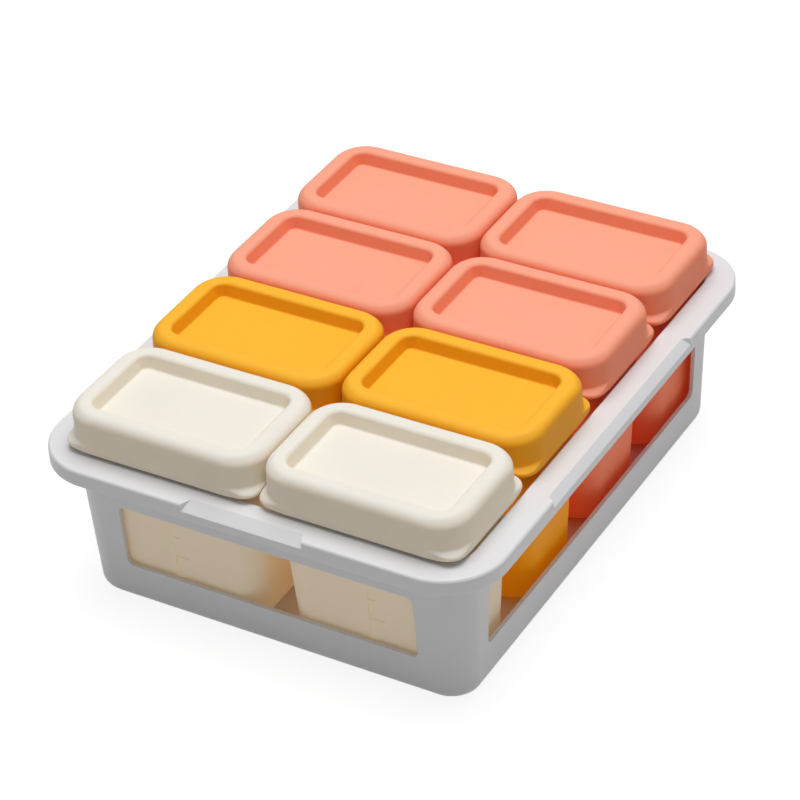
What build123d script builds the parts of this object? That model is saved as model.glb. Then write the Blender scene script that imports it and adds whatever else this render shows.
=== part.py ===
from build123d import *

import math
import os

os.makedirs("parts", exist_ok=True)

# Baby food freezer tray: a windowed plastic caddy that holds eight lidded silicone cups.
# Millimetres, +Z up. The origin is the middle of the caddy's underside, +Y points to the back
# and the long side of the caddy lies along Y.

# Grid of cups
columns = ("left", "right")
row_count = 4
lid_gap = 0.3

# Lid, outside: a rounded box with a thin tab standing out low on each corner
lid_width = 71.6
lid_length = 45.7
lid_height = 14.0
lid_corner_radius = 11.5
lid_draft = 0.1
lid_top_radius = 4.2
tab_corner_radius = 3.5
tab_ledge = 0.2
tab_clearance = 0.8
tab_underside_rise = 0.5
tab_thickness = 1.4
tab_top_rise = 1.3

# Lid, recessed panel and underside
border_width = 6.4
recess_depth = 4.4
recess_slope = 2.8
recess_edge_radius = 1.8
lid_thickness = 2.6
lid_skirt = 2.1
panel_thickness = 2.0
plug_taper = 2.0
lid_fit_clearance = 0.3

# Cup
cup_height = 69.1
cup_wall = 1.8
cup_floor = 2.2
cup_draft_angle = 2.8
cup_corner_radius = 8.0
cup_foot_radius = 7.0
lip_ledge = 0.5
lip_height = 3.0
lip_edge_radius = 0.6

# Caddy walls and floor
wall = 1.5
floor_thickness = 1.9
side_clearance = 2.4
end_clearance = 0.5
wall_corner_radius = 12.0
wall_inset_at_base = 3.1
base_edge_radius = 5.0
lid_foot_clearance = 1.4

# Caddy rim: a flat ledge with a turned-down skirt
rim_overhang = 9.0
rim_thickness = 2.0
skirt_height = 5.8
rim_edge_radius = 1.0
channel_bevel = 1.6

# Windows in the four walls
end_window_width = 108.0
side_window_width = 147.0
window_bottom = 15.6
window_height = 24.4
window_corner_radius = 2.5

# Finger grips: bevels in the middle of each side of the rim
end_grip_length = 44.0
end_grip_depth = 4.0
side_grip_length = 97.5
side_grip_depth = 2.6
grip_drop = 2.6
grip_end_slope = 1.8

# How closely an edge must lie at a height to count as being there
level_tolerance = 0.01

# Heights above the caddy's underside
lip_top = floor_thickness + cup_height
lip_foot = lip_top - lip_height
lid_top = lip_top + lid_thickness
lid_foot = lid_top - lid_height
tab_root = lid_foot + tab_clearance
tab_foot = tab_root + tab_underside_rise
tab_top = tab_foot + tab_thickness
tab_crease = tab_top + tab_top_rise
recess_floor = lid_top - recess_depth
panel_foot = recess_floor - panel_thickness
bowl_floor = floor_thickness + cup_floor
rim_top = lid_foot - lid_foot_clearance
skirt_foot = rim_top - skirt_height
channel_top = rim_top - rim_thickness
window_middle = window_bottom + window_height / 2

# Insets of outlines from the lid's tabs, in plan
body_inset = tab_ledge + lid_draft
recess_inset = body_inset + border_width
lip_inset = lid_skirt + lid_fit_clearance
cup_inset = lip_inset + lip_ledge
mouth_inset = cup_inset + cup_wall
plug_inset = mouth_inset + lid_fit_clearance
corner_centre_inset = tab_ledge + lid_corner_radius

# Outside of the lid from its foot up: height, inset and corner radius of each outline
lid_sections = (
    (lid_foot, tab_ledge, lid_corner_radius),
    (tab_root, tab_ledge, lid_corner_radius),
    (tab_foot, 0, tab_corner_radius),
    (tab_top, 0, tab_corner_radius),
    (tab_crease, tab_ledge, lid_corner_radius),
    (lid_top, body_inset, corner_centre_inset - body_inset),
)

# Layout of the grid, and the plan of the caddy around it
column_pitch = lid_width + lid_gap
row_pitch = lid_length + lid_gap
cups_width = column_pitch * (len(columns) - 1) + lid_width - 2 * cup_inset
cups_length = row_pitch * (row_count - 1) + lid_length - 2 * cup_inset
wall_width = cups_width + 2 * (side_clearance + wall)
wall_length = cups_length + 2 * (end_clearance + wall)
rim_width = wall_width + 2 * rim_overhang
rim_length = wall_length + 2 * rim_overhang
rim_corner_radius = wall_corner_radius + rim_overhang


def lid_outline(inset, corner_radius):
    """Plan outline of a lid or a cup, an inset in from the lid's tabs."""
    RectangleRounded(lid_width - 2 * inset, lid_length - 2 * inset, corner_radius)


def wall_outline(height, thickness):
    """Plan outline of the caddy's tapered wall at a height, a thickness in from its outside."""
    inset = wall_inset_at_base * (1 - height / rim_top) + thickness
    RectangleRounded(wall_width - 2 * inset, wall_length - 2 * inset, wall_corner_radius - inset)


def cup_draft(depth):
    """How far the cup's wall has moved in at a depth below its top."""
    return depth * math.tan(math.radians(cup_draft_angle))


def level(edges, height):
    """Those of some edges that lie wholly at one height."""
    return edges.filter_by_position(Axis.Z, height - level_tolerance, height + level_tolerance)


def grip_cutter(reach, length, depth):
    """Wedge that bevels the rim's edge at X = reach over a length, with slanted ends."""
    with BuildPart() as cutter:
        with BuildSketch(Plane.XZ.offset(-length / 2 - grip_end_slope)):
            with BuildLine():
                Polyline(
                    (reach - depth, rim_top),
                    (reach, rim_top - grip_drop),
                    (reach + depth, rim_top - grip_drop),
                    (reach + depth, rim_top + grip_drop),
                    (reach - depth, rim_top + grip_drop),
                    close=True,
                )
            make_face()
        extrude(amount=length + 2 * grip_end_slope)
        with BuildSketch(Plane.XY.offset(rim_top - grip_drop)):
            with BuildLine():
                Polyline(
                    (reach - depth, length / 2 - grip_end_slope),
                    (reach + depth, length / 2 + grip_end_slope),
                    (reach + depth, -length / 2 - grip_end_slope),
                    (reach - depth, -length / 2 + grip_end_slope),
                    close=True,
                )
            make_face()
        extrude(amount=2 * grip_drop, mode=Mode.INTERSECT)
    return cutter.part


with BuildPart() as tray:
    # Rim: a slab with a channel under it that leaves the skirt
    with BuildSketch(Plane.XY.offset(skirt_foot)):
        RectangleRounded(rim_width, rim_length, rim_corner_radius)
    extrude(amount=skirt_height)
    with BuildSketch(Plane.XY.offset(skirt_foot)):
        RectangleRounded(rim_width - 2 * wall, rim_length - 2 * wall, rim_corner_radius - wall)
    extrude(amount=channel_top - skirt_foot, mode=Mode.SUBTRACT)
    chamfer(level(tray.edges(), channel_top), channel_bevel)
    fillet(level(tray.edges(), rim_top), rim_edge_radius)

    # Walls that taper in towards the base, with a rounded edge round the base
    with BuildSketch(Plane.XY):
        wall_outline(0, 0)
    with BuildSketch(Plane.XY.offset(rim_top)):
        wall_outline(rim_top, 0)
    loft()
    fillet(level(tray.edges(), 0), base_edge_radius)

    # Inside
    with BuildSketch(Plane.XY.offset(floor_thickness)):
        wall_outline(floor_thickness, wall)
    with BuildSketch(Plane.XY.offset(rim_top)):
        wall_outline(rim_top, wall)
    loft(mode=Mode.SUBTRACT)
    fillet(level(tray.edges(), floor_thickness), base_edge_radius - wall)

    # Windows, each cut through two facing walls
    for view, window_width in ((Plane.XZ, end_window_width), (Plane.YZ, side_window_width)):
        with BuildSketch(view):
            with Locations((0, window_middle)):
                RectangleRounded(window_width, window_height, window_corner_radius)
        extrude(amount=rim_length, both=True, mode=Mode.SUBTRACT)

    # Finger grips on the four sides
    side_grip = grip_cutter(rim_width / 2, side_grip_length, side_grip_depth)
    end_grip = grip_cutter(rim_length / 2, end_grip_length, end_grip_depth)
    for turn, cutter in ((0, side_grip), (90, end_grip), (180, side_grip), (270, end_grip)):
        add(cutter, rotation=(0, 0, turn), mode=Mode.SUBTRACT)

tray.part.label = "tray"
export_step(tray.part, "parts/tray.step")

for row in range(row_count):
    for place, column in enumerate(columns):
        seat = Plane((
            (place - (len(columns) - 1) / 2) * column_pitch,
            (row - (row_count - 1) / 2) * row_pitch,
            0,
        ))

        with BuildPart() as cup:
            # Body, which narrows to a well-rounded foot
            with BuildSketch(seat.offset(floor_thickness)):
                lid_outline(cup_inset + cup_draft(lip_foot - floor_thickness), cup_corner_radius)
            with BuildSketch(seat.offset(lip_foot)):
                lid_outline(cup_inset, cup_corner_radius)
            loft()
            fillet(level(cup.edges(), floor_thickness), cup_foot_radius)
            # Lip, a bead round the mouth
            with BuildSketch(seat.offset(lip_foot)):
                lid_outline(lip_inset, corner_centre_inset - lip_inset)
            extrude(amount=lip_height)
            fillet(level(cup.edges(), lip_top), lip_edge_radius)
            # Bowl
            with BuildSketch(seat.offset(bowl_floor)):
                lid_outline(mouth_inset + cup_draft(lip_top - bowl_floor), cup_corner_radius - cup_wall)
            with BuildSketch(seat.offset(lip_top)):
                lid_outline(mouth_inset, cup_corner_radius - cup_wall)
            loft(mode=Mode.SUBTRACT)
            fillet(level(cup.edges(), bowl_floor), cup_foot_radius - cup_wall)

        cup.part.label = f"cup_{row + 1}_{column}"
        export_step(cup.part, f"parts/{cup.part.label}.step")

        with BuildPart() as lid:
            # Outside, with the corner tabs
            for height, inset, corner_radius in lid_sections:
                with BuildSketch(seat.offset(height)):
                    lid_outline(inset, corner_radius)
            loft(ruled=True)
            fillet(level(lid.edges(), lid_top), lid_top_radius)
            # Hollow that takes the cup's lip, and the plug in the cup's mouth
            with BuildSketch(seat.offset(lid_foot)):
                lid_outline(lid_skirt, corner_centre_inset - lid_skirt)
            extrude(amount=lip_top - lid_foot, mode=Mode.SUBTRACT)
            with BuildSketch(seat.offset(panel_foot)):
                lid_outline(plug_inset + plug_taper, corner_centre_inset - plug_inset - plug_taper)
            with BuildSketch(seat.offset(lip_top)):
                lid_outline(plug_inset, corner_centre_inset - plug_inset)
            loft()
            # Recessed panel inside the raised border
            with BuildSketch(seat.offset(recess_floor)):
                lid_outline(recess_inset + recess_slope, corner_centre_inset - recess_inset - recess_slope)
            with BuildSketch(seat.offset(lid_top)):
                lid_outline(recess_inset, corner_centre_inset - recess_inset)
            loft(mode=Mode.SUBTRACT)
            fillet(level(lid.edges(Select.LAST), lid_top), recess_edge_radius)

        lid.part.label = f"lid_{row + 1}_{column}"
        export_step(lid.part, f"parts/{lid.part.label}.step")
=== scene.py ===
"""Baby food freezer tray: a white caddy with eight silicone cups and their lids.

Lengths are metres unless a name says otherwise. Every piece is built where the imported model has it, with
its object at the origin, and rides on that model's body.
"""

import logging
import math
from dataclasses import dataclass, field
from enum import Enum
from typing import Any

import bmesh
import bpy
from mathutils import Matrix, Vector


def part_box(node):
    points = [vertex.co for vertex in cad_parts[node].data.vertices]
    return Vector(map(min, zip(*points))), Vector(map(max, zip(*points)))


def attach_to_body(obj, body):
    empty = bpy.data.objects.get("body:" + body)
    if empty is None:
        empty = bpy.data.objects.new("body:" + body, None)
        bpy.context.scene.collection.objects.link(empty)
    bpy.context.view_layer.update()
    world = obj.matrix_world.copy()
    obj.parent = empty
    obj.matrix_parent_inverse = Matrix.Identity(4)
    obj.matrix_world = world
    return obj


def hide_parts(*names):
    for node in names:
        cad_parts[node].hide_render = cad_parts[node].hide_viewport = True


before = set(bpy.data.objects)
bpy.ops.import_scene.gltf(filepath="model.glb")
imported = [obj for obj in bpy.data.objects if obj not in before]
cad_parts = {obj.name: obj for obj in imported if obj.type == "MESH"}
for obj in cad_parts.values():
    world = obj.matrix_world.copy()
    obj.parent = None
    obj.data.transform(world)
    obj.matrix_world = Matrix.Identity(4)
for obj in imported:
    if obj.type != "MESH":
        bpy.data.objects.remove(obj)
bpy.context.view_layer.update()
log = logging.getLogger("freezer_tray")

MM = 0.001
WELD_DISTANCE = 1e-6
IMAGE_SIDE = 800
QUARTER_TURN = math.pi / 2
ROWS = (1, 2, 3, 4)
# The signs of a plane's two coordinates in each of its quarters, in turn
QUARTERS = ((1, 1), (-1, 1), (-1, -1), (1, -1))

Colour = tuple[float, float, float]


class Column(Enum):
    """The two columns of cups, by the side of the caddy they stand on."""

    LEFT = "left"
    RIGHT = "right"


class Tone(Enum):
    """Silicone colours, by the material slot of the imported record."""

    CREAM = "silicone_cream"
    YELLOW = "silicone_yellow"
    CORAL = "silicone_coral"


ROW_TONES = {1: Tone.CREAM, 2: Tone.YELLOW, 3: Tone.CORAL, 4: Tone.CORAL}


class Field:
    """A socket that takes part in Python expressions and adds the Math nodes that they need."""

    def __init__(self, graph: "Graph", socket: bpy.types.NodeSocket | None) -> None:
        """Wraps a socket.

        Args:
            graph: The graph that the socket's node is in.
            socket: The output socket, or None for a node that has no output.
        """
        self.graph = graph
        self.socket = socket

    def sibling(self, name: str) -> "Field":
        """Another output of the same node."""
        return Field(self.graph, self.socket.node.outputs[name])

    def math(self, operation: str, *others: Any) -> "Field":
        """Applies a Math node.

        Args:
            operation: The Math node's operation.
            others: The node's further values or fields, in order.

        Returns:
            The result as a field.
        """
        values = dict(enumerate((self, *others)))
        return self.graph.node("ShaderNodeMath", {"operation": operation}, values)

    def reversed_math(self, operation: str, first: Any) -> "Field":
        """Applies a Math node with this field as the second value."""
        return self.graph.node("ShaderNodeMath", {"operation": operation}, {0: first, 1: self})

    def __add__(self, other: Any) -> "Field":
        """Adds."""
        return self.math("ADD", other)

    __radd__ = __add__

    def __sub__(self, other: Any) -> "Field":
        """Subtracts."""
        return self.math("SUBTRACT", other)

    def __rsub__(self, other: Any) -> "Field":
        """Subtracts this field from a value."""
        return self.reversed_math("SUBTRACT", other)

    def __mul__(self, other: Any) -> "Field":
        """Multiplies."""
        return self.math("MULTIPLY", other)

    __rmul__ = __mul__

    def __truediv__(self, other: Any) -> "Field":
        """Divides."""
        return self.math("DIVIDE", other)

    def __rtruediv__(self, other: Any) -> "Field":
        """Divides a value by this field."""
        return self.reversed_math("DIVIDE", other)

    def floor(self) -> "Field":
        """Rounds down."""
        return self.math("FLOOR")

    def cos(self) -> "Field":
        """Cosine."""
        return self.math("COSINE")

    def sin(self) -> "Field":
        """Sine."""
        return self.math("SINE")

    def at_most(self, limit: Any) -> "Field":
        """The smaller of this and a limit."""
        return self.math("MINIMUM", limit)

    def at_least(self, limit: Any) -> "Field":
        """The larger of this and a limit."""
        return self.math("MAXIMUM", limit)

    def ramp(self, low: float, high: float) -> "Field":
        """A smooth step from 0 at low to 1 at high."""
        inputs = {"Value": self, "From Min": low, "From Max": high}
        return self.graph.node("ShaderNodeMapRange", {"interpolation_type": "SMOOTHSTEP"}, inputs)


class Graph:
    """A node tree with one method that makes any node."""

    def __init__(self, tree: bpy.types.NodeTree) -> None:
        """Wraps a node tree."""
        self.tree = tree

    def node(
        self,
        kind: str,
        settings: dict[str, Any] | None = None,
        inputs: dict[int | str, Any] | None = None,
        output: int | str = 0,
    ) -> Field:
        """Makes a node, sets it up and fills its sockets.

        Args:
            kind: The node's type.
            settings: The node's own properties.
            inputs: What each socket is filled with, by the socket's name or number.
            output: The name or number of the socket that is returned.

        Returns:
            The chosen output as a field.
        """
        node = self.tree.nodes.new(kind)
        for name, value in (settings or {}).items():
            setattr(node, name, value)
        for key, value in (inputs or {}).items():
            self.fill(node.inputs[key], value)
        return Field(self, node.outputs[output] if node.outputs else None)

    def fill(self, socket: bpy.types.NodeSocket, value: Any) -> None:
        """Fills a socket.

        Args:
            socket: The input socket.
            value: A constant, a field, or a list of fields for a socket that takes several.
        """
        if isinstance(value, list):
            for part in value:
                self.fill(socket, part)
        elif isinstance(value, Field):
            self.tree.links.new(value.socket, socket)
        else:
            socket.default_value = value


class GeometryTree(Graph):
    """A Geometry Nodes tree whose named inputs are set on a modifier."""

    def __init__(self, name: str, inputs: dict[str, str]) -> None:
        """Makes an empty tree.

        Args:
            name: The tree's name.
            inputs: The socket type of each named input after the geometry.
        """
        super().__init__(bpy.data.node_groups.new(name, "GeometryNodeTree"))
        face = self.tree.interface
        face.new_socket("Geometry", in_out="OUTPUT", socket_type="NodeSocketGeometry")
        face.new_socket("Geometry", in_out="INPUT", socket_type="NodeSocketGeometry")
        for label, kind in inputs.items():
            face.new_socket(label, in_out="INPUT", socket_type=kind)
        self.source = self.tree.nodes.new("NodeGroupInput")

    def given(self, name: str) -> Field:
        """One of the tree's named inputs, as a field."""
        return Field(self, self.source.outputs[name])

    def finish(self, geometry: Field, material: Field) -> None:
        """Realizes the geometry, gives it the material and sends it out.

        Args:
            geometry: The tree's result.
            material: Its material.
        """
        real = self.node("GeometryNodeRealizeInstances", inputs={"Geometry": geometry})
        painted = self.node("GeometryNodeSetMaterial", inputs={"Geometry": real, "Material": material})
        self.node("NodeGroupOutput", inputs={"Geometry": painted})

    def run(self, name: str, source: bpy.types.Mesh, values: dict[str, Any]) -> bpy.types.Object:
        """Runs the tree on a mesh.

        Args:
            name: The new object's name.
            source: The mesh that the tree starts from.
            values: The named inputs.

        Returns:
            An object with the result as a plain mesh and no modifier.
        """
        carrier = placed(name, source)
        modifier = carrier.modifiers.new("tree", "NODES")
        modifier.node_group = self.tree
        sockets = {
            item.name: item.identifier
            for item in self.tree.interface.items_tree
            if item.item_type == "SOCKET" and item.in_out == "INPUT"
        }
        for label, value in values.items():
            modifier[sockets[label]] = value
        return settled(carrier)


def placed(name: str, data: bpy.types.ID) -> bpy.types.Object:
    """Makes an object of a mesh, a lamp or a camera, and links it to the scene."""
    made = bpy.data.objects.new(name, data)
    bpy.context.scene.collection.objects.link(made)
    return made


def settled(carrier: bpy.types.Object) -> bpy.types.Object:
    """Turns an object's modifiers into its plain mesh and removes them.

    Args:
        carrier: The object with the modifiers.

    Returns:
        The same object.
    """
    carrier.update_tag()
    depsgraph = bpy.context.evaluated_depsgraph_get()
    mesh = bpy.data.meshes.new_from_object(carrier.evaluated_get(depsgraph))
    mesh.name = carrier.name
    carrier.modifiers.clear()
    carrier.data = mesh
    return carrier


@dataclass(frozen=True)
class Station:
    """A corner of a shell's section.

    Attributes:
        inset: How far in from the shell's widest outline it lies.
        corner: The radius of the plan's corners there.
        height: Its height above the caddy's underside.
        fillet: The radius that rounds the section there.
    """

    inset: float
    corner: float
    height: float
    fillet: float = 0.0


@dataclass
class Section:
    """The section of a shell, from the middle of its underside round its outside to the middle again.

    Attributes:
        stations: The section's corners, in order.
        arc_steps: The steps of the arc that rounds a corner.
        straight: How near to straight, in radians, a corner has to be to stay as it is.
        side_share: The largest share of a side that an arc may take.
    """

    stations: list[Station] = field(default_factory=list)
    arc_steps: int = 7
    straight: float = 0.02
    side_share: float = 0.7

    def add(self, inset: float, corner: float, height: float, fillet: float = 0.0) -> None:
        """Adds a corner to the section."""
        self.stations.append(Station(inset, corner, height, fillet))

    def arc(self, before: Station, here: Station, after: Station) -> list[Station]:
        """The points that round one corner of the section.

        Args:
            before: The corner before it.
            here: The corner that is rounded.
            after: The corner after it.

        Returns:
            Points along the arc, from its start to its end.
        """
        point = Vector((here.inset, here.height))
        back = Vector((before.inset, before.height)) - point
        ahead = Vector((after.inset, after.height)) - point
        inside = back.angle(ahead)
        if not here.fillet or inside > math.pi - self.straight:
            return [here]
        longest = self.side_share * min(back.length, ahead.length)
        reach = min(here.fillet / math.tan(inside / 2), longest)
        radius = reach * math.tan(inside / 2)
        inward = (back.normalized() + ahead.normalized()).normalized()
        centre = point + inward * radius / math.sin(inside / 2)
        start = point + back.normalized() * reach - centre
        sweep = start.angle_signed(point + ahead.normalized() * reach - centre)
        points = []
        for step in range(self.arc_steps + 1):
            share = step / self.arc_steps
            spot = centre + Matrix.Rotation(-sweep * share, 2) @ start
            near, length = (before, back.length) if share < 0.5 else (after, ahead.length)
            blend = abs(1 - 2 * share) * reach / length
            points.append(Station(spot.x, here.corner + (near.corner - here.corner) * blend, spot.y))
        return points

    def points(self) -> list[Station]:
        """All points of the section, with its corners rounded."""
        ends = self.stations
        made = [ends[0]]
        for before, here, after in zip(ends, ends[1:], ends[2:]):
            made += self.arc(before, here, after)
        return made + [ends[-1]]

    def mesh(self, name: str) -> bpy.types.Mesh:
        """The section as loose points that carry its insets, corner radii and heights.

        Args:
            name: The mesh's name.

        Returns:
            The mesh.
        """
        points = self.points()
        mesh = bpy.data.meshes.new(name)
        mesh.from_pydata([(0, 0, point.height) for point in points], [], [])
        for label in ("inset", "corner", "height"):
            values = [getattr(point, label) for point in points]
            mesh.attributes.new(label, "FLOAT", "POINT").data.foreach_set("value", values)
        return mesh


class ShellTree(GeometryTree):
    """Sweeps a section round a rounded rectangle, which is the rule of the caddy, the cups and the lids."""

    def __init__(self) -> None:
        """Builds the tree."""
        floats = ("Width", "Length", "Middle X", "Middle Y", "Ripple", "Ripple Size", "Seed")
        counts = ("Corner Steps", "Side Steps")
        kinds = dict.fromkeys(floats, "NodeSocketFloat") | dict.fromkeys(counts, "NodeSocketInt")
        super().__init__("rounded_shell", kinds | {"Material": "NodeSocketMaterial"})
        points = self.given("Geometry")
        source = {"Geometry": points}
        rows = self.node("GeometryNodeAttributeDomainSize", inputs=source, output="Point Count")
        corner_steps = self.given("Corner Steps")
        quarter_steps = corner_steps + self.given("Side Steps")
        grid = self.node(
            "GeometryNodeMeshGrid",
            inputs={"Size X": 1.0, "Size Y": 1.0, "Vertices X": quarter_steps * 4 + 1, "Vertices Y": rows},
        )
        index = self.node("GeometryNodeInputIndex")
        column = ((index + 0.5) / rows).floor()
        row = index - column * rows
        quarter = ((column + 0.5) / quarter_steps).floor()
        step = column - quarter * quarter_steps
        turn = (step / corner_steps).at_most(1.0)
        along = ((step - corner_steps) / self.given("Side Steps")).at_least(0.0)
        angle = (quarter + turn) * QUARTER_TURN
        labels = ("inset", "corner", "height")
        inset, corner, height = (self.sampled(points, label, row) for label in labels)
        reach_x = self.given("Width") * 0.5 - inset - corner
        reach_y = self.given("Length") * 0.5 - inset - corner
        here = (quarter + 0.5) * QUARTER_TURN
        ahead = (quarter + 1.5) * QUARTER_TURN
        side_x = (here.cos() + (ahead.cos() - here.cos()) * along) * math.sqrt(2)
        side_y = (here.sin() + (ahead.sin() - here.sin()) * along) * math.sqrt(2)
        place = self.node(
            "ShaderNodeCombineXYZ",
            inputs={
                "X": side_x * reach_x + angle.cos() * corner + self.given("Middle X"),
                "Y": side_y * reach_y + angle.sin() * corner + self.given("Middle Y"),
                "Z": height,
            },
        )
        swept = self.node("GeometryNodeSetPosition", inputs={"Geometry": grid, "Position": place})
        seam = {"Geometry": swept, "Distance": WELD_DISTANCE}
        closed = self.node("GeometryNodeMergeByDistance", inputs=seam)
        smooth = self.node("GeometryNodeSetShadeSmooth", inputs={"Geometry": self.rippled(closed)})
        self.finish(smooth, self.given("Material"))

    def sampled(self, points: Field, label: str, row: Field) -> Field:
        """A value that a point of the section carries.

        Args:
            points: The section.
            label: The value's name.
            row: The point's number.

        Returns:
            The value at that point.
        """
        value = self.node("GeometryNodeInputNamedAttribute", {"data_type": "FLOAT"}, {"Name": label})
        inputs = {"Geometry": points, "Value": value, "Index": row}
        return self.node("GeometryNodeSampleIndex", inputs=inputs)

    def rippled(self, geometry: Field) -> Field:
        """Moves a surface in and out a little, as a soft moulding is never quite true.

        Args:
            geometry: The surface.

        Returns:
            The surface with its ripple.
        """
        noise = self.node(
            "ShaderNodeTexNoise",
            {"noise_dimensions": "4D"},
            {
                "Vector": self.node("GeometryNodeInputPosition"),
                "W": self.given("Seed"),
                "Scale": 1.0 / self.given("Ripple Size"),
                "Detail": 1.0,
            },
        )
        offset = self.node(
            "ShaderNodeVectorMath",
            {"operation": "SCALE"},
            {0: self.node("GeometryNodeInputNormal"), "Scale": (noise - 0.5) * 2.0 * self.given("Ripple")},
        )
        return self.node("GeometryNodeSetPosition", inputs={"Geometry": geometry, "Offset": offset})


class ScaleTree(GeometryTree):
    """Raised marks up a wall: a spine with a tick at every step, longer at every second one."""

    short_share = 0.55

    def __init__(self) -> None:
        """Builds the tree."""
        lengths = ("Pitch", "Tick Length", "Line Width", "Relief")
        kinds = {"Steps": "NodeSocketInt", "Material": "NodeSocketMaterial"}
        super().__init__("volume_scale", kinds | dict.fromkeys(lengths, "NodeSocketFloat"))
        steps, pitch = self.given("Steps"), self.given("Pitch")
        thick, relief = self.given("Line Width"), self.given("Relief")
        spine_size = self.node("ShaderNodeCombineXYZ", inputs={"X": thick, "Y": relief, "Z": pitch * steps})
        spine = self.node("GeometryNodeMeshCube", inputs={"Size": spine_size})
        rise = self.node("ShaderNodeCombineXYZ", inputs={"Z": pitch * steps * 0.5 - pitch * 0.5})
        lifted = self.node("GeometryNodeTransform", inputs={"Geometry": spine, "Translation": rise})
        climb = self.node("ShaderNodeCombineXYZ", inputs={"Z": pitch})
        ladder = self.node("GeometryNodeMeshLine", inputs={"Count": steps, "Offset": climb})
        index = self.node("GeometryNodeInputIndex")
        is_long = index - (index / 2).floor() * 2
        length = self.given("Tick Length") * (self.short_share + (1 - self.short_share) * is_long)
        aside = self.node("ShaderNodeCombineXYZ", inputs={"X": length * 0.5})
        rungs = self.node("GeometryNodeSetPosition", inputs={"Geometry": ladder, "Offset": aside})
        ticks = self.node(
            "GeometryNodeInstanceOnPoints",
            inputs={
                "Points": rungs,
                "Instance": self.node("GeometryNodeMeshCube", inputs={"Size": (1.0, 1.0, 1.0)}),
                "Scale": self.node("ShaderNodeCombineXYZ", inputs={"X": length, "Y": relief, "Z": thick}),
            },
        )
        joined = self.node("GeometryNodeJoinGeometry", inputs={"Geometry": [lifted, ticks]})
        self.finish(joined, self.given("Material"))


class Material(Graph):
    """A material with a Principled surface, and the patterns that its finish draws on."""

    def __init__(self, name: str, constants: dict[str, Any]) -> None:
        """Makes the material.

        Args:
            name: The material's name.
            constants: The values that are the same all over, by the surface's socket names.
        """
        self.material = bpy.data.materials.new(name)
        self.material.use_nodes = True
        super().__init__(self.material.node_tree)
        self.surface = self.tree.nodes["Principled BSDF"]
        for label, value in constants.items():
            self.fill(self.surface.inputs[label], value)
        self.place = self.node("ShaderNodeTexCoord", output="Object")

    def noise(self, size: float, detail: float = 3.0) -> Field:
        """Soft noise with patches of a size, from 0 to 1."""
        inputs = {"Vector": self.place, "Scale": 1.0 / size, "Detail": detail}
        return self.node("ShaderNodeTexNoise", inputs=inputs)

    def cells(self, size: float) -> tuple[Field, Field]:
        """Divides space into cells.

        Args:
            size: The cells' size.

        Returns:
            The distance from a cell's middle in parts of a cell, and a random number of the cell's own.
        """
        inputs = {"Vector": self.place, "Scale": 1.0 / size}
        distance = self.node("ShaderNodeTexVoronoi", inputs=inputs)
        own = self.node("ShaderNodeSeparateColor", inputs={"Color": distance.sibling("Color")})
        return distance, own

    def blend(self, factor: Field, first: Any, second: Any) -> Field:
        """Mixes two colours by a factor."""
        settings = {"data_type": "RGBA", "clamp_factor": True}
        return self.node("ShaderNodeMix", settings, {0: factor, 6: first, 7: second}, output=2)

    def bump(self, height: Field, depth: float) -> Field:
        """A bump of a depth from a height field."""
        inputs = {"Height": height, "Distance": depth, "Strength": 1.0}
        return self.node("ShaderNodeBump", inputs=inputs)

    def wire(self, **links: Field) -> bpy.types.Material:
        """Links fields to the surface.

        Args:
            links: The fields, by the surface's socket names with their spaces as underscores.

        Returns:
            The finished material.
        """
        for label, value in links.items():
            self.fill(self.surface.inputs[label.replace("_", " ")], value)
        return self.material


def grey(level: float) -> tuple[float, ...]:
    """A grey of a level, with its alpha."""
    return (level, level, level, 1.0)


def shade(colour: Colour, factor: float = 1.0) -> tuple[float, ...]:
    """A colour made darker or lighter by a factor, with its alpha."""
    return (*(min(1.0, channel * factor) for channel in colour), 1.0)


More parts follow.
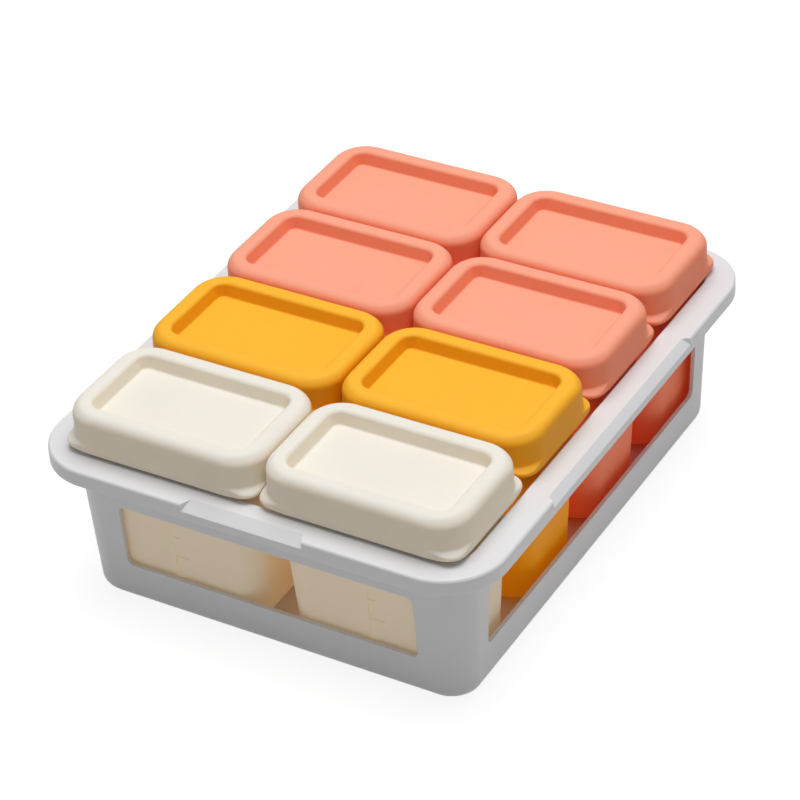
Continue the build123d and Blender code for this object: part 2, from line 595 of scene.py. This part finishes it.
@dataclass(frozen=True)
class Silicone:
    """Soft matte silicone with a few specks of dust, painted lighter where it faces up and with painted
    shade where it faces sideways or down.

    Below the rim it has a painted glow: it emits a little light that stands in for the light bounced
    between the cups inside the caddy.

    Attributes:
        colour: The colour of what faces up, painted as lit from above.
        side: The painted shade: the warmer, mostly darker colour of what faces sideways or down.
        deep: How far each channel of light travels inside, as shares of subsurface_scale.
        glow: The colour of the painted glow below the rim, emitted light that stands in for light bounced
            between the cups.
        painted_glow_heights: Where the painted glow starts and where it is full.
        painted_top_light: How much a face has to face up for the painted light to start and to be full.
        tints: How dark and how light the patches are.
        speck_cell: The size of the cells that may each hold a speck.
        speck_size: A speck's radius, in parts of a cell.
        speck_share: The share of cells that hold a speck.
    """

    tone: Tone
    colour: Colour
    side: Colour
    deep: Colour
    glow: Colour
    painted_glow_heights: tuple[float, float] = (60 * MM, 48 * MM)
    painted_top_light: tuple[float, float] = (0.25, 0.95)
    subsurface: float = 0.2
    subsurface_scale: float = 1.0 * MM
    refraction: float = 1.41
    specular: float = 0.3
    tints: tuple[float, float] = (0.965, 1.035)
    cloud: float = 26 * MM
    mottle: float = 2.2 * MM
    mottle_share: float = 0.3
    roughness: float = 0.55
    roughness_spread: float = 0.12
    speck_cell: float = 3.2 * MM
    speck_size: float = 0.055
    speck_share: float = 0.10
    speck_softness: tuple[float, float] = (0.6, 1.0)
    speck_cutoff: tuple[float, float] = (0.9, 1.0)
    speck_strength: float = 0.55
    speck_tint: float = 0.45
    speck_relief: float = 0.5
    grain: float = 0.5 * MM
    grain_depth: float = 0.012 * MM

    def make(self) -> bpy.types.Material:
        """Builds the material.

        Returns:
            The material.
        """
        graph = Material(
            self.tone.value,
            {
                "Subsurface Weight": self.subsurface,
                "Subsurface Radius": self.deep,
                "Subsurface Scale": self.subsurface_scale,
                "IOR": self.refraction,
                "Specular IOR Level": self.specular,
                "Emission Strength": 1.0,
            },
        )
        cloud = graph.noise(self.cloud)
        mottle = graph.noise(self.mottle)
        normal = graph.node("ShaderNodeTexCoord", output="Normal")
        # Painted light and shade: faces that point up take the lit colour, faces that point sideways or
        # down take the painted shade
        painted_light_share = graph.node("ShaderNodeSeparateXYZ", inputs={0: normal}, output="Z").ramp(*self.painted_top_light)
        dark, light = (
            graph.blend(painted_light_share, shade(self.side, tint), shade(self.colour, tint)) for tint in self.tints
        )
        patches = cloud * (1 - self.mottle_share) + mottle * self.mottle_share
        body = graph.blend(patches, dark, light)
        distance, own = graph.cells(self.speck_cell)
        edge = (distance / self.speck_size).ramp(*self.speck_softness)
        empty = (own / self.speck_share).ramp(*self.speck_cutoff)
        speck = (1.0 - edge) * (1.0 - empty)
        colour = graph.blend(speck * self.speck_strength, body, shade(self.colour, self.speck_tint))
        grain = graph.noise(self.grain)
        # Painted glow: below the rim the silicone emits a little light in its glow colour, standing in for
        # light bounced between the cups
        height = graph.node("ShaderNodeSeparateXYZ", inputs={0: graph.place}, output="Z")
        painted_glow_share = height.ramp(*self.painted_glow_heights)
        return graph.wire(
            Base_Color=colour,
            Emission_Color=graph.blend(painted_glow_share, grey(0.0), shade(self.glow)),
            Roughness=self.roughness + (mottle - 0.5) * self.roughness_spread,
            Normal=graph.bump(grain + speck * self.speck_relief, self.grain_depth),
        )


@dataclass(frozen=True)
class Plastic:
    """Satin white moulded plastic, with faint clouds and scuffs.

    Attributes:
        name: The material's name, which is its slot.
        deep: How far each channel of light travels inside, as shares of subsurface_scale.
        tints: How dark and how light the clouds are.
        cloud: The clouds' size.
        scuff: The scuffs' size.
    """

    name: str = "tray_white"
    colour: Colour = (0.735, 0.733, 0.748)
    deep: Colour = (1.0, 0.95, 0.9)
    subsurface: float = 0.12
    subsurface_scale: float = 1.5 * MM
    refraction: float = 1.49
    tints: tuple[float, float] = (0.985, 1.015)
    cloud: float = 40 * MM
    scuff: float = 5 * MM
    scuff_detail: float = 4.0
    roughness: float = 0.42
    roughness_spread: float = 0.14
    grain: float = 0.7 * MM
    grain_depth: float = 0.006 * MM

    def make(self) -> bpy.types.Material:
        """Builds the material.

        Returns:
            The material.
        """
        graph = Material(
            self.name,
            {
                "Subsurface Weight": self.subsurface,
                "Subsurface Radius": self.deep,
                "Subsurface Scale": self.subsurface_scale,
                "IOR": self.refraction,
            },
        )
        cloud = graph.noise(self.cloud)
        scuff = graph.noise(self.scuff, self.scuff_detail)
        body = graph.blend(cloud, *(shade(self.colour, tint) for tint in self.tints))
        return graph.wire(
            Base_Color=body,
            Roughness=self.roughness + (scuff - 0.5) * self.roughness_spread,
            Normal=graph.bump(graph.noise(self.grain), self.grain_depth),
        )


# Each silicone: its colour where lit from above, its painted shade (warmer, mostly darker) for what faces
# sideways or down, its subsurface reach, and the colour of its painted glow below the rim
FINISHES = (
    Silicone(
        Tone.CREAM, colour=(0.82, 0.78, 0.70), side=(0.86, 0.765, 0.62),
        deep=(1.0, 0.85, 0.6), glow=(0.115, 0.080, 0.040),
    ),
    Silicone(
        Tone.YELLOW, colour=(0.95, 0.47, 0.03), side=(0.86, 0.345, 0.004),
        deep=(1.0, 0.5, 0.05), glow=(0.17, 0.050, 0.0),
    ),
    Silicone(
        Tone.CORAL, colour=(0.93, 0.375, 0.25), side=(0.93, 0.27, 0.145),
        deep=(1.0, 0.4, 0.25), glow=(0.115, 0.010, 0.002),
    ),
)


@dataclass
class Footprint:
    """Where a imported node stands: its middle, its width and length in plan, and its heights."""

    middle: Vector
    width: float
    length: float
    bottom: float
    top: float

    @classmethod
    def of(cls, node: str) -> "Footprint":
        """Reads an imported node's box from its mesh."""
        low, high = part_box(node)
        return cls((low + high) / 2, high.x - low.x, high.y - low.y, low.z, high.z)


def attach(piece: bpy.types.Object, body: str, slot: str, *nodes: str) -> None:
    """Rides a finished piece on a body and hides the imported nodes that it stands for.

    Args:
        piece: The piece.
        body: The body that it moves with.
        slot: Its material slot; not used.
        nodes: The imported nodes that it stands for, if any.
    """
    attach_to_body(piece, body)
    if nodes:
        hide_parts(*nodes)
    log.info("%s: %d faces on %s", piece.name, len(piece.data.polygons), body)


def weigh_normals(piece: bpy.types.Object) -> None:
    """Shades the flat faces of a piece flat beside their rounded edges."""
    modifier = piece.modifiers.new("weights", "WEIGHTED_NORMAL")
    modifier.keep_sharp = True
    settled(piece)


@dataclass
class Shells:
    """Makes the shells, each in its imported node's place.

    Attributes:
        mould_steps: The steps round each corner and along each side of a cup or a lid.
        ripple_size: How far apart the ripples of a soft moulding are.
        seed_stride: How much a shell's seed grows for each millimetre along Y.
    """

    tree: ShellTree
    materials: dict[str, bpy.types.Material]
    mould_steps: tuple[int, int] = (12, 8)
    ripple_size: float = 22 * MM
    seed_stride: float = 10.0

    def make(
        self,
        name: str,
        section: Section,
        place: Footprint,
        slot: str,
        steps: tuple[int, int],
        ripple: float = 0.0,
    ) -> bpy.types.Object:
        """Sweeps a section round a rounded rectangle.

        Args:
            name: The piece's name.
            section: The shell's section, with its insets taken from the footprint's edges.
            place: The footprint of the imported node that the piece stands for.
            slot: The material slot.
            steps: The steps round each corner and along each side.
            ripple: How far the surface may stray from true.

        Returns:
            The piece, with a plain mesh.
        """
        return self.tree.run(
            name,
            section.mesh(name + "_section"),
            {
                "Width": place.width,
                "Length": place.length,
                "Middle X": place.middle.x,
                "Middle Y": place.middle.y,
                "Corner Steps": steps[0],
                "Side Steps": steps[1],
                "Ripple": ripple,
                "Ripple Size": self.ripple_size,
                "Seed": round(place.middle.x / MM) + self.seed_stride * round(place.middle.y / MM),
                "Material": self.materials[slot],
            },
        )

    def mould(self, body: str, section: Section, place: Footprint, slot: str, ripple: float) -> None:
        """Makes the shell of a cup or a lid and puts it on its body.

        Args:
            body: The body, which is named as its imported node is.
            section: The shell's section.
            place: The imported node's footprint.
            slot: The material slot.
            ripple: How far the surface may stray from true.
        """
        piece = self.make(body + "_shell", section, place, slot, self.mould_steps, ripple)
        weigh_normals(piece)
        attach(piece, body, slot, body)


# How far a corner tab stands out, as a share, at each height in millimetres above the lid's foot
TAB_PROFILE = (
    (0.45, 0.28), (0.74, 0.52), (0.92, 0.82), (1.0, 1.2), (1.0, 1.6), (0.96, 1.94), (0.87, 2.2),
    (0.74, 2.42), (0.58, 2.6), (0.42, 2.78), (0.27, 2.96), (0.15, 3.16), (0.06, 3.42), (0.0, 3.8),
)


@dataclass
class Lid:
    """A silicone lid: a raised border round a recessed panel, with a thin tab low on each corner."""

    row: int
    column: Column
    body_corner: float = 11.5 * MM
    tab_corner: float = 5.4 * MM
    ledge: float = 0.1 * MM
    draft: float = 0.2 * MM
    top_fillet: float = 3.5 * MM
    border: float = 6.4 * MM
    recess_depth: float = 4.8 * MM
    recess_slope: float = 1.7 * MM
    recess_corner: float = 5.0 * MM
    panel_corner: float = 2.2 * MM
    crown: float = 0.2 * MM
    thickness: float = 2.6 * MM
    skirt: float = 2.1 * MM
    panel: float = 1.6 * MM
    plug_inset: float = 5.0 * MM
    plug_taper: float = 2.0 * MM
    plug_foot_fillet: float = 0.6 * MM
    plug_root_fillet: float = 0.4 * MM
    hollow_fillet: float = 0.8 * MM
    hollow_edge: float = 0.3 * MM
    foot_edge: float = 0.35 * MM
    border_fillet: float = 1.7 * MM
    recess_fillet: float = 0.8 * MM
    ripple: float = 0.08 * MM

    @property
    def name(self) -> str:
        """The lid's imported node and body."""
        return f"lid_{self.row}_{self.column.value}"

    def section(self, place: Footprint) -> Section:
        """The lid's section, from the middle of the panel's underside to the middle of its top.

        Args:
            place: The lid's footprint.

        Returns:
            The section.
        """
        foot, top, middle = place.bottom, place.top, place.length / 2
        centre = self.ledge + self.body_corner
        ceiling = top - self.thickness
        panel_top = top - self.recess_depth
        panel_foot = panel_top - self.panel
        body = self.ledge + self.draft
        recess = body + self.border
        plug_foot = self.plug_inset + self.plug_taper
        made = Section()
        made.add(middle, 0.0, panel_foot + self.crown)
        made.add(plug_foot, centre - plug_foot, panel_foot, self.plug_foot_fillet)
        made.add(self.plug_inset, centre - self.plug_inset, ceiling, self.plug_root_fillet)
        made.add(self.skirt, centre - self.skirt, ceiling, self.hollow_fillet)
        made.add(self.skirt, centre - self.skirt, foot, self.hollow_edge)
        made.add(self.ledge, self.body_corner, foot, self.foot_edge)
        for share, height in TAB_PROFILE:
            corner = self.body_corner + (self.tab_corner - self.body_corner) * share
            made.add(self.ledge * (1 - share), corner, foot + height * MM)
        made.add(body, centre - body, top, self.top_fillet)
        made.add(recess, self.recess_corner, top, self.border_fillet)
        made.add(recess + self.recess_slope, self.panel_corner, panel_top, self.recess_fillet)
        made.add(middle, 0.0, panel_top + self.crown)
        return made

    def build(self, shells: Shells) -> None:
        """Builds the lid and puts it on its body."""
        place = Footprint.of(self.name)
        shells.mould(self.name, self.section(place), place, ROW_TONES[self.row].value, self.ripple)


@dataclass
class Cup:
    """A tapered silicone cup with a bead round its mouth and a volume scale on its front."""

    row: int
    column: Column
    lip_height: float = 3.0 * MM
    ledge: float = 0.5 * MM
    wall: float = 1.8 * MM
    floor: float = 2.2 * MM
    draft: float = math.radians(2.8)
    corner: float = 8.0 * MM
    lip_corner: float = 9.3 * MM
    lip_step: float = 0.3 * MM
    lip_foot_fillet: float = 0.3 * MM
    lip_fillet: float = 0.6 * MM
    mouth_fillet: float = 0.5 * MM
    foot_fillet: float = 7.0 * MM
    ripple: float = 0.12 * MM

    @property
    def name(self) -> str:
        """The cup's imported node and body."""
        return f"cup_{self.row}_{self.column.value}"

    def section(self, place: Footprint) -> Section:
        """The cup's section, from the middle of its underside round the lip to the middle of its bowl.

        Args:
            place: The cup's footprint.

        Returns:
            The section.
        """
        foot, top, middle = place.bottom, place.top, place.length / 2
        lip_foot = top - self.lip_height
        floor = foot + self.floor
        mouth = self.ledge + self.wall
        bowl_corner = self.corner - self.wall
        slope = math.tan(self.draft)
        made = Section()
        made.add(middle, 0.0, foot)
        made.add(self.ledge + slope * (lip_foot - foot), self.corner, foot, self.foot_fillet)
        made.add(self.ledge, self.corner, lip_foot, self.lip_foot_fillet)
        made.add(0.0, self.lip_corner, lip_foot + self.lip_step, self.lip_foot_fillet)
        made.add(0.0, self.lip_corner, top, self.lip_fillet)
        made.add(mouth, bowl_corner, top, self.mouth_fillet)
        made.add(mouth + slope * (top - floor), bowl_corner, floor, self.foot_fillet - self.wall)
        made.add(middle, 0.0, floor)
        return made

    def build(self, shells: Shells, scale: "VolumeScale") -> None:
        """Builds the cup and its volume scale and puts them on their body.

        Args:
            shells: What makes the shell.
            scale: What makes the volume scale.
        """
        place = Footprint.of(self.name)
        slot = ROW_TONES[self.row].value
        shells.mould(self.name, self.section(place), place, slot, self.ripple)
        scale.build(self, place, shells.materials[slot])


@dataclass
class VolumeScale:
    """A raised line with ticks, moulded on the front of each cup.

    Attributes:
        tick: The length of a long tick.
        relief: How thick the lines are.
        proud: How far they stand out of the cup's wall.
        first_height: The first tick's height above the cup's foot.
    """

    tree: ScaleTree
    steps: int = 6
    pitch: float = 8.0 * MM
    tick: float = 5.5 * MM
    line: float = 0.5 * MM
    relief: float = 0.5 * MM
    proud: float = 0.3 * MM
    first_height: float = 14.0 * MM

    def build(self, cup: Cup, place: Footprint, material: bpy.types.Material) -> None:
        """Builds the scale of one cup.

        Args:
            cup: The cup that it is moulded on.
            place: The cup's footprint.
            material: The cup's silicone.
        """
        marks = self.tree.run(
            cup.name + "_scale",
            bpy.data.meshes.new(cup.name + "_scale_source"),
            {
                "Steps": self.steps,
                "Pitch": self.pitch,
                "Tick Length": self.tick,
                "Line Width": self.line,
                "Relief": self.relief,
                "Material": material,
            },
        )
        depth = place.top - cup.lip_height - place.bottom - self.first_height
        front = place.middle.y - place.length / 2 + cup.ledge + depth * math.tan(cup.draft)
        sunk = self.relief / 2 - self.proud
        spot = Matrix.Translation((place.middle.x, front + sunk, place.bottom + self.first_height))
        marks.data.transform(spot @ Matrix.Rotation(cup.draft, 4, "X"))
        for polygon in marks.data.polygons:
            polygon.use_smooth = False
        attach(marks, cup.name, ROW_TONES[cup.row].value)


@dataclass
class Caddy:
    """The white caddy: tapered walls with windows, and a flat rim with a skirt and finger grips."""

    wall: float = 1.5 * MM
    floor: float = 1.9 * MM
    overhang: float = 9.0 * MM
    wall_corner: float = 12.0 * MM
    taper: float = 3.1 * MM
    base_fillet: float = 5.0 * MM
    rim_thickness: float = 2.0 * MM
    skirt_height: float = 5.8 * MM
    rim_fillet: float = 1.0 * MM
    bevel: float = 1.6 * MM
    window_bottom: float = 15.6 * MM
    window_height: float = 24.4 * MM
    window_corner: float = 2.5 * MM
    end_window: float = 108.0 * MM
    side_window: float = 147.0 * MM
    end_grip: tuple[float, float] = (44.0 * MM, 4.0 * MM)
    side_grip: tuple[float, float] = (97.5 * MM, 2.6 * MM)
    grip_drop: float = 2.6 * MM
    grip_slope: float = 1.8 * MM
    neck_fillet: float = 0.4 * MM
    skirt_edges: tuple[float, float] = (0.3 * MM, 0.5 * MM)
    mouth_fillet: float = 0.9 * MM
    soft_edge: float = 0.35 * MM
    soft_edge_angle: float = math.radians(32)
    shell_steps: tuple[int, int] = (20, 1)
    rim_arc_steps: int = 6
    window_arc_steps: int = 8

    def section(self, place: Footprint) -> Section:
        """The caddy's section, from the middle of its underside round the rim to the middle of its floor.

        Args:
            place: The caddy's footprint.

        Returns:
            The section.
        """
        top, centre = place.top, self.overhang + self.wall_corner
        middle = place.width / 2
        ceiling = top - self.rim_thickness
        skirt = top - self.skirt_height

        def wall_inset(height: float, thickness: float) -> float:
            """Inset of the tapered wall at a height."""
            return self.overhang + thickness + self.taper * (1 - height / top)

        made = Section(arc_steps=self.rim_arc_steps)
        made.add(middle, 0.0, 0.0)
        for inset, height, fillet in (
            (wall_inset(0.0, 0.0), 0.0, self.base_fillet),
            (wall_inset(ceiling, 0.0), ceiling, self.neck_fillet),
            (self.wall + self.bevel, ceiling, 0.0),
            (self.wall, ceiling - self.bevel, 0.0),
            (self.wall, skirt, self.skirt_edges[0]),
            (0.0, skirt, self.skirt_edges[1]),
            (0.0, top, self.rim_fillet),
            (self.overhang + self.wall, top, self.mouth_fillet),
            (wall_inset(self.floor, self.wall), self.floor, self.base_fillet - self.wall),
        ):
            made.add(inset, centre - inset, height, fillet)
        made.add(middle, 0.0, self.floor)
        return made

    def window_cutter(self, width: float, reach: float, turn: float) -> bpy.types.Object:
        """A bar with the outline of a window, long enough to go through two facing walls.

        Args:
            width: The window's width.
            reach: Half the bar's length.
            turn: The bar's turn about the vertical, from lying along Y.

        Returns:
            The cutter.
        """
        steps, radius = self.window_arc_steps, self.window_corner
        half_width, half_height = width / 2 - radius, self.window_height / 2 - radius
        builder = bmesh.new()
        outline = []
        for quarter, (side_x, side_z) in enumerate(QUARTERS):
            for part in range(steps + 1):
                angle = (quarter + part / steps) * QUARTER_TURN
                x = side_x * half_width + radius * math.cos(angle)
                z = side_z * half_height + radius * math.sin(angle)
                outline.append(builder.verts.new((x, -reach, z)))
        face = builder.faces.new(outline)
        pulled = bmesh.ops.extrude_face_region(builder, geom=[face])["geom"]
        moved = [item for item in pulled if isinstance(item, bmesh.types.BMVert)]
        bmesh.ops.translate(builder, verts=moved, vec=(0, 2 * reach, 0))
        lift = Matrix.Translation((0, 0, self.window_bottom + self.window_height / 2))
        builder.transform(lift @ Matrix.Rotation(turn, 4, "Z"))
        return cutter_object("window_cutter", builder)

    def grip_cutter(
        self, reach: float, top: float, grip: tuple[float, float], turn: float
    ) -> bpy.types.Object:
        """A wedge that bevels the rim.

        Args:
            reach: The rim's outer edge from the middle.
            top: The rim's height.
            grip: The bevel's length and depth.
            turn: The wedge's turn about the vertical, from the +X side.

        Returns:
            The cutter.
        """
        length, depth = grip
        builder = bmesh.new()
        for side in (-1, 1):
            near = side * (length / 2 - self.grip_slope)
            far = side * (length / 2 + self.grip_slope)
            builder.verts.new((reach - depth, near, top))
            builder.verts.new((reach - depth, near, top + self.grip_drop))
            builder.verts.new((reach + depth, far, top - 2 * self.grip_drop))
            builder.verts.new((reach + depth, far, top + self.grip_drop))
        bmesh.ops.convex_hull(builder, input=builder.verts)
        builder.transform(Matrix.Rotation(turn, 4, "Z"))
        return cutter_object("grip_cutter", builder)

    def build(self, shells: Shells) -> None:
        """Builds the caddy and puts it on its body."""
        place = Footprint.of("tray")
        piece = shells.make("caddy_shell", self.section(place), place, "tray_white", self.shell_steps)
        cutters = [
            self.window_cutter(self.end_window, place.length, 0.0),
            self.window_cutter(self.side_window, place.length, QUARTER_TURN),
        ]
        for quarter in range(4):
            grip, across = (self.end_grip, place.length) if quarter % 2 else (self.side_grip, place.width)
            cutters.append(self.grip_cutter(across / 2, place.top, grip, quarter * QUARTER_TURN))
        for cutter in cutters:
            cut = piece.modifiers.new("cut", "BOOLEAN")
            cut.operation, cut.solver, cut.object = "DIFFERENCE", "EXACT", cutter
        edges = piece.modifiers.new("edges", "BEVEL")
        edges.width, edges.segments = self.soft_edge, 2
        edges.limit_method, edges.angle_limit = "ANGLE", self.soft_edge_angle
        settled(piece)
        for cutter in cutters:
            bpy.data.meshes.remove(cutter.data)
        for polygon in piece.data.polygons:
            polygon.use_smooth = True
        piece.data.materials.clear()
        piece.data.materials.append(shells.materials["tray_white"])
        weigh_normals(piece)
        attach(piece, "tray", "tray_white", "tray")


def cutter_object(name: str, builder: bmesh.types.BMesh) -> bpy.types.Object:
    """Turns a closed shape into an object that cuts others.

    Args:
        name: The object's name.
        builder: The shape, which is freed.

    Returns:
        The object.
    """
    bmesh.ops.recalc_face_normals(builder, faces=builder.faces)
    mesh = bpy.data.meshes.new(name)
    builder.to_mesh(mesh)
    builder.free()
    return placed(name, mesh)


@dataclass
class Studio:
    """Camera, floor, room light and lamp.

    Attributes:
        aim_right: How far right of the caddy's middle the camera aims, as it sees it.
        aim_up: How far above aim_height it aims, as it sees it.
        focal_pixels: The focal length in pixels of the photograph.
        sensor: The sensor's width in millimetres.
        lamp_size: The side of the lamp's square.
        floor_pale: The grey of the floor to rays that only light the object.
        floor_grey: The floor's own grey where it is seen, which takes the shadow.
        floor_glow: The light that the floor adds where it is seen.
    """

    azimuth: float = math.radians(31.97)
    elevation: float = math.radians(35.44)
    roll: float = math.radians(-3.95)
    distance: float = 1054.03 * MM
    aim_right: float = -1.28 * MM
    aim_up: float = 12.2 * MM
    aim_height: float = 25.0 * MM
    focal_pixels: float = 3155.22
    sensor: float = 36.0
    clip: tuple[float, float] = (0.05, 50.0)
    lamp_spot: tuple[float, float, float] = (0.05, 0.10, 1.35)
    lamp_size: float = 1.0
    lamp_watts: float = 15.5
    room_light: float = 0.30
    floor_reach: float = 6.0
    floor_drop: float = 0.2 * MM
    floor_pale: float = 0.6
    floor_grey: float = 0.22
    floor_glow: float = 0.87

    def camera(self) -> None:
        """Places the camera that sees the photograph's view."""
        sin_a, cos_a = math.sin(self.azimuth), math.cos(self.azimuth)
        sin_e, cos_e = math.sin(self.elevation), math.cos(self.elevation)
        back = Vector((sin_a * cos_e, -cos_a * cos_e, sin_e))
        right = Vector((cos_a, sin_a, 0.0))
        up = back.cross(right)
        aim = Vector((0, 0, self.aim_height)) + right * self.aim_right + up * self.aim_up
        turned = Matrix.Rotation(self.roll, 3, back)
        axes = Matrix((turned @ right, turned @ up, back)).transposed().to_4x4()
        data = bpy.data.cameras.new("camera")
        data.sensor_width = self.sensor
        data.lens = self.focal_pixels * self.sensor / IMAGE_SIDE
        data.clip_start, data.clip_end = self.clip
        camera = placed("camera", data)
        camera.matrix_world = Matrix.Translation(aim + back * self.distance) @ axes
        bpy.context.scene.camera = camera

    def lamp(self) -> None:
        """Hangs a square soft lamp above the object, turned to face it."""
        data = bpy.data.lights.new("top_lamp", "AREA")
        data.size, data.energy = self.lamp_size, self.lamp_watts
        lamp = placed("top_lamp", data)
        lamp.location = self.lamp_spot
        lamp.rotation_euler = (-Vector(self.lamp_spot)).to_track_quat("-Z", "Y").to_euler()

    def floor(self) -> None:
        """Lays a pale floor that is white to the camera and keeps a soft shadow."""
        reach, height = self.floor_reach, -self.floor_drop
        mesh = bpy.data.meshes.new("floor")
        corners = [(side_x * reach, side_y * reach, height) for side_x, side_y in QUARTERS]
        mesh.from_pydata(corners, [], [(0, 1, 2, 3)])
        floor = placed("floor", mesh)
        material = bpy.data.materials.new("floor")
        material.use_nodes = True
        graph = Graph(material.node_tree)
        graph.tree.nodes.clear()
        path = graph.node("ShaderNodeLightPath")
        seen = path
        for label in ("Is Glossy Ray", "Is Transmission Ray"):
            seen = seen.math("MAXIMUM", path.sibling(label))
        pale = graph.node("ShaderNodeBsdfDiffuse", inputs={"Color": grey(self.floor_pale)})
        dim = graph.node("ShaderNodeBsdfDiffuse", inputs={"Color": grey(self.floor_grey)})
        glow = graph.node("ShaderNodeEmission", inputs={"Color": grey(self.floor_glow), "Strength": 1.0})
        white = graph.node("ShaderNodeAddShader", inputs={0: dim, 1: glow})
        both = graph.node("ShaderNodeMixShader", inputs={0: seen, 1: pale, 2: white})
        graph.node("ShaderNodeOutputMaterial", inputs={"Surface": both})
        mesh.materials.append(material)

    def world(self) -> None:
        """Lights the room evenly, and shows white behind the object."""
        world = bpy.data.worlds.new("room")
        world.use_nodes = True
        graph = Graph(world.node_tree)
        graph.tree.nodes.clear()
        path = graph.node("ShaderNodeLightPath")
        room = graph.node("ShaderNodeBackground", inputs={"Color": grey(1.0), "Strength": self.room_light})
        white = graph.node("ShaderNodeBackground", inputs={"Color": grey(1.0), "Strength": 1.0})
        both = graph.node("ShaderNodeMixShader", inputs={0: path, 1: room, 2: white})
        graph.node("ShaderNodeOutputWorld", inputs={"Surface": both})
        bpy.context.scene.world = world

    def build(self) -> None:
        """Sets up the whole studio."""
        self.camera()
        self.floor()
        self.world()
        self.lamp()
        bpy.context.scene.view_settings.view_transform = "Standard"


def main() -> None:
    """Builds the studio, the caddy, the cups and the lids in turn."""
    logging.basicConfig(level=logging.INFO, format="%(name)s %(message)s")
    Studio().build()
    materials = {finish.tone.value: finish.make() for finish in FINISHES}
    plastic = Plastic()
    materials[plastic.name] = plastic.make()
    shells = Shells(ShellTree(), materials)
    scale = VolumeScale(ScaleTree())
    Caddy().build(shells)
    for row in ROWS:
        for column in Column:
            Cup(row, column).build(shells, scale)
            Lid(row, column).build(shells)


if __name__ == "__main__":
    main()
